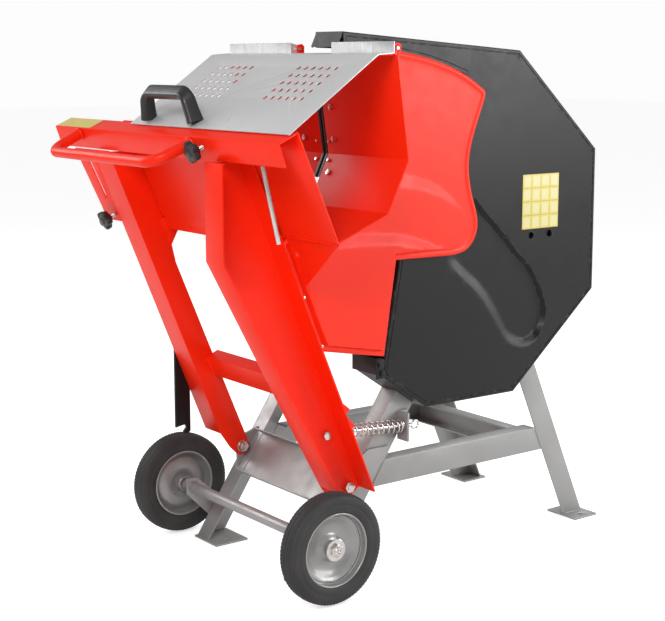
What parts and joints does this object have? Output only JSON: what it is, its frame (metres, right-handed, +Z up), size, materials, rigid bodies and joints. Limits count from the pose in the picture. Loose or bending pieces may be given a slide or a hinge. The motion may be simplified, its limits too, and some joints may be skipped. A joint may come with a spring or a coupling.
{
  "type": "rocking-cradle firewood log saw",
  "caption": "Log saw: a large blade in an octagonal guard on an A-frame with wheels, and a red rocking trough with a lid that carries the log into the blade.",
  "frame": {"origin": "on the floor, at the middle of the overall length and width; the wheel axle is 302.5 mm in front of it", "axes": "+X along the axle to the operator's right, +Y from the operator towards the blade, +Z up"},
  "size_m": [0.93, 1.259, 1.233],
  "materials": {
    "red_paint": "gloss powder coat",
    "grey_paint": "satin silver-grey powder coat",
    "black_paint": "satin black powder coat",
    "zinc": "bright zinc plate",
    "lid_steel": "satin sheet steel",
    "tyre_rubber": "matt solid rubber",
    "rim_paint": "silver-grey enamel",
    "black_plastic": "moulded",
    "red_plastic": "fine grain moulded",
    "blue_plastic": "moulded",
    "green_plastic": "moulded",
    "stop_red": "moulded",
    "label": "printed film, plain",
    "motor_cast": "painted casting",
    "core_steel": "laminated core",
    "bearing_steel": "ground",
    "blade_steel": "brushed disc",
    "carbide": "sintered carbide"
  },
  "bodies": {
    "frame": {"axle": "zinc", "axle_brackets": "grey_paint", "axle_nuts": "zinc", "axle_tube": "grey_paint", "blank_label": "label", "foot_plates": "grey_paint", "front_cross_plate": "grey_paint", "front_left_leg": "grey_paint", "front_right_leg": "grey_paint", "guard_back_plate": "black_paint", "guard_clamp": "black_paint", "guard_cover": "black_paint", "inlet_plug": "blue_plastic", "motor_deck": "grey_paint", "motor_end_shield": "motor_cast", "motor_fan_cowl": "black_paint", "motor_housing": "motor_cast", "pivot_bolts": "zinc", "pivot_brackets": "grey_paint", "rear_cross_rail": "grey_paint", "rear_left_leg": "grey_paint", "rear_right_leg": "grey_paint", "shaft_bearings": "bearing_steel", "side_rails": "grey_paint", "spring_anchor": "grey_paint", "stator_core": "core_steel", "switch_box": "black_plastic"},
    "start_button": {"start_button": "green_plastic"},
    "stop_button": {"stop_button": "stop_red"},
    "blade_unit": {"saw_blade": "blade_steel", "blade_tips": "carbide", "arbor_flanges": "zinc", "arbor_nut": "zinc", "motor_shaft": "bearing_steel", "rotor_core": "core_steel", "cooling_fan": "black_plastic"},
    "right_wheel": {"right_tyre": "tyre_rubber", "right_rim": "rim_paint"},
    "left_wheel": {"left_tyre": "tyre_rubber", "left_rim": "rim_paint"},
    "cradle": {"top_beam": "red_paint", "left_cradle_leg": "red_paint", "right_cradle_leg": "red_paint", "cradle_crossbar": "red_paint", "log_trough": "red_paint", "trough_gussets": "red_paint", "support_guide": "red_paint", "side_cover": "red_plastic", "push_handle": "red_paint", "cradle_fasteners": "zinc", "lid_hinge_ears": "red_paint", "slot_insert": "black_plastic", "stay_rod": "zinc"},
    "lid": {"lid_panel": "lid_steel", "lid_handle": "black_plastic"},
    "front_knob": {"front_knob": "black_plastic"},
    "side_knob": {"side_knob": "black_plastic"},
    "latch": {"latch_bar": "black_paint"},
    "spring_guide": {"spring_rod": "zinc", "return_spring": "zinc"}
  },
  "joints": [
    {"name": "cradle_swing", "type": "hinge", "parent": "frame", "child": "cradle", "pos_m": [0, -0.1825, 0.222], "axis": [-1, 0, 0], "range_deg": [0, 22], "stiffness_Nm_per_rad": 45, "deforming": ["return_spring"]},
    {"name": "blade_spin", "type": "hinge", "parent": "frame", "child": "blade_unit", "pos_m": [0.185, 0.1725, 0.795], "axis": [1, 0, 0], "continuous": true},
    {"name": "right_wheel_roll", "type": "hinge", "parent": "frame", "child": "right_wheel", "pos_m": [0.315, -0.3025, 0.128], "axis": [1, 0, 0], "continuous": true},
    {"name": "left_wheel_roll", "type": "hinge", "parent": "frame", "child": "left_wheel", "pos_m": [-0.315, -0.3025, 0.128], "axis": [1, 0, 0], "continuous": true},
    {"name": "lid_hinge", "type": "hinge", "parent": "cradle", "child": "lid", "pos_m": [0.15, -0.2405, 1.196], "axis": [1, 0, 0], "range_deg": [-105, 0]},
    {"name": "front_knob_turn", "type": "hinge", "parent": "cradle", "child": "front_knob", "pos_m": [0.187, -0.5347, 0.997], "axis": [0, -0.9429, -0.333], "continuous": true},
    {"name": "side_knob_turn", "type": "hinge", "parent": "cradle", "child": "side_knob", "pos_m": [-0.36, -0.4449, 0.806], "axis": [0, -0.925, -0.38], "continuous": true},
    {"name": "latch_swing", "type": "hinge", "parent": "cradle", "child": "latch", "pos_m": [-0.293, -0.3055, 0.51], "axis": [1, 0, 0], "range_deg": [-20, 45]},
    {"name": "spring_rod_pivot", "type": "hinge", "parent": "cradle", "child": "spring_guide", "pos_m": [0.207, -0.2455, 0.352], "axis": [-1, 0, 0], "range_deg": [-17, 0]},
    {"name": "start_button_press", "type": "slide", "parent": "frame", "child": "start_button", "axis": [0, 1, 0], "range_m": [0, 0.003]},
    {"name": "stop_button_press", "type": "slide", "parent": "frame", "child": "stop_button", "axis": [0, 1, 0], "range_m": [0, 0.003]}
  ],
  "couplings": [
    {"joint": "spring_rod_pivot", "follows": "cradle_swing", "ratio": -0.738}
  ]
}
